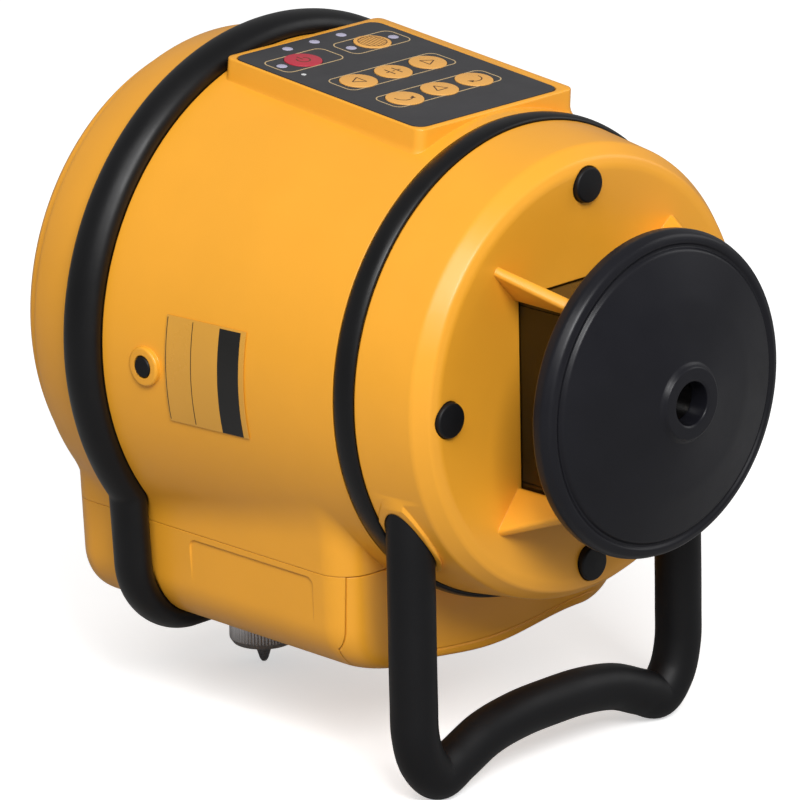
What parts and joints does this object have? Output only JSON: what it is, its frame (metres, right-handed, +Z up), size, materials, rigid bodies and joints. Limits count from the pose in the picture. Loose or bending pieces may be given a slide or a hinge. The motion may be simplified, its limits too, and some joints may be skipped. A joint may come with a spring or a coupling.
{
  "type": "rotating laser level",
  "caption": "Rotating laser level lying on its side: tapered drum body, glass lantern under a round cap, top keypad, U handle and a levelling foot.",
  "frame": {"origin": "middle of the bounding box on the floor, under the drum", "axes": "+Z up, the laser axis along Y with the round cap facing -Y and the rear base facing +Y, +X to the right of someone facing +Y"},
  "size_m": [0.178, 0.21, 0.2155],
  "materials": {
    "yellow_shell": "satin moulded ABS",
    "black_plastic": "satin moulded plastic",
    "rubber": "matt moulded rubber",
    "overlay": "printed membrane film",
    "key_amber": "printed membrane dome",
    "key_red": "printed membrane dome",
    "led_lens": "frosted lens",
    "glass": "tinted optical glass",
    "chrome": "turned and plated",
    "brass": "machined brass",
    "aluminium": "machined aluminium",
    "steel": "turned steel",
    "circuit_board": "fibreglass board with solder mask",
    "cell_sleeve": "printed sleeve",
    "label": "blank self-adhesive plate"
  },
  "bodies": {
    "housing": {"body_housing": "yellow_shell", "battery_case": "yellow_shell", "rear_base": "yellow_shell", "head_cover": "yellow_shell", "tripod_insert": "brass", "rear_bumper": "rubber", "front_ring": "rubber", "handle_grip": "rubber", "cap_disc": "black_plastic", "plumb_window": "glass", "head_plug_top": "rubber", "head_plug_left": "rubber", "head_plug_bottom": "rubber", "head_plug_right": "rubber", "side_plug_left": "rubber", "side_plug_right": "rubber", "glass_pane_left": "glass", "glass_pane_right": "glass", "glass_pane_top": "glass", "glass_pane_bottom": "glass", "keypad_overlay": "overlay", "keypad_board": "circuit_board", "rating_label": "label", "foot_bush": "brass", "gimbal_frame": "aluminium", "level_motor_side": "steel", "level_motor_below": "steel", "main_board": "circuit_board", "contact_strip": "steel", "battery_led": "led_lens", "level_led": "led_lens", "tilt_led": "led_lens", "power_led": "led_lens", "slow_led": "led_lens", "fast_led": "led_lens", "battery_cell_1": "cell_sleeve", "battery_cell_2": "cell_sleeve", "battery_cell_3": "cell_sleeve", "battery_cell_4": "cell_sleeve"},
    "battery_door": {"battery_door": "yellow_shell"},
    "lock_switch": {"lock_switch": "black_plastic"},
    "foot_spindle": {"foot_spindle": "steel"},
    "foot_knob": {"foot_knob": "chrome"},
    "gimbal_ring": {"gimbal_ring": "aluminium"},
    "laser_column": {"laser_column": "aluminium", "laser_module": "brass", "spindle_bearing": "steel", "rotor_motor": "brass"},
    "rotor": {"rotor_head": "aluminium", "penta_prism": "glass"},
    "power_key": {"power_key": "key_red"},
    "speed_key": {"speed_key": "key_amber"},
    "left_key": {"left_key": "key_amber"},
    "mode_key": {"mode_key": "key_amber"},
    "right_key": {"right_key": "key_amber"},
    "turn_left_key": {"turn_left_key": "key_amber"},
    "up_key": {"up_key": "key_amber"},
    "turn_right_key": {"turn_right_key": "key_amber"}
  },
  "joints": [
    {"name": "power_press", "type": "slide", "parent": "housing", "child": "power_key", "axis": [0, 0.0958, -0.9954], "range_m": [0, 0.0006], "stiffness_N_per_m": 1500, "springref_m": -0.0004},
    {"name": "speed_press", "type": "slide", "parent": "housing", "child": "speed_key", "axis": [0, 0.0958, -0.9954], "range_m": [0, 0.0006], "stiffness_N_per_m": 1500, "springref_m": -0.0004},
    {"name": "left_press", "type": "slide", "parent": "housing", "child": "left_key", "axis": [0, 0.0958, -0.9954], "range_m": [0, 0.0006], "stiffness_N_per_m": 1500, "springref_m": -0.0004},
    {"name": "mode_press", "type": "slide", "parent": "housing", "child": "mode_key", "axis": [0, 0.0958, -0.9954], "range_m": [0, 0.0006], "stiffness_N_per_m": 1500, "springref_m": -0.0004},
    {"name": "right_press", "type": "slide", "parent": "housing", "child": "right_key", "axis": [0, 0.0958, -0.9954], "range_m": [0, 0.0006], "stiffness_N_per_m": 1500, "springref_m": -0.0004},
    {"name": "turn_left_press", "type": "slide", "parent": "housing", "child": "turn_left_key", "axis": [0, 0.0958, -0.9954], "range_m": [0, 0.0006], "stiffness_N_per_m": 1500, "springref_m": -0.0004},
    {"name": "up_press", "type": "slide", "parent": "housing", "child": "up_key", "axis": [0, 0.0958, -0.9954], "range_m": [0, 0.0006], "stiffness_N_per_m": 1500, "springref_m": -0.0004},
    {"name": "turn_right_press", "type": "slide", "parent": "housing", "child": "turn_right_key", "axis": [0, 0.0958, -0.9954], "range_m": [0, 0.0006], "stiffness_N_per_m": 1500, "springref_m": -0.0004},
    {"name": "lock_slide", "type": "slide", "parent": "housing", "child": "lock_switch", "axis": [0, 1, 0], "range_m": [0, 0.008]},
    {"name": "door_slide", "type": "slide", "parent": "housing", "child": "battery_door", "axis": [0, 0, -1], "range_m": [0, 0.03]},
    {"name": "foot_turn", "type": "hinge", "parent": "foot_spindle", "child": "foot_knob", "pos_m": [0, 0.084, 0.0155], "axis": [0, 0, 1], "range_deg": [-1080, 720]},
    {"name": "foot_height", "type": "slide", "parent": "housing", "child": "foot_spindle", "axis": [0, 0, 1], "range_m": [-0.00449, 0.00299]},
    {"name": "tilt_across", "type": "hinge", "parent": "housing", "child": "gimbal_ring", "pos_m": [0, 0.007, 0.1265], "axis": [1, 0, 0], "range_deg": [-5, 5]},
    {"name": "tilt_upright", "type": "hinge", "parent": "gimbal_ring", "child": "laser_column", "pos_m": [0, 0.007, 0.1265], "axis": [0, 0, 1], "range_deg": [-5, 5]},
    {"name": "rotor_spin", "type": "hinge", "parent": "laser_column", "child": "rotor", "pos_m": [0, -0.071, 0.1265], "axis": [0, 1, 0], "continuous": true}
  ],
  "couplings": [
    {"joint": "foot_turn", "follows": "foot_height", "rad_per_m": 4188.8}
  ]
}
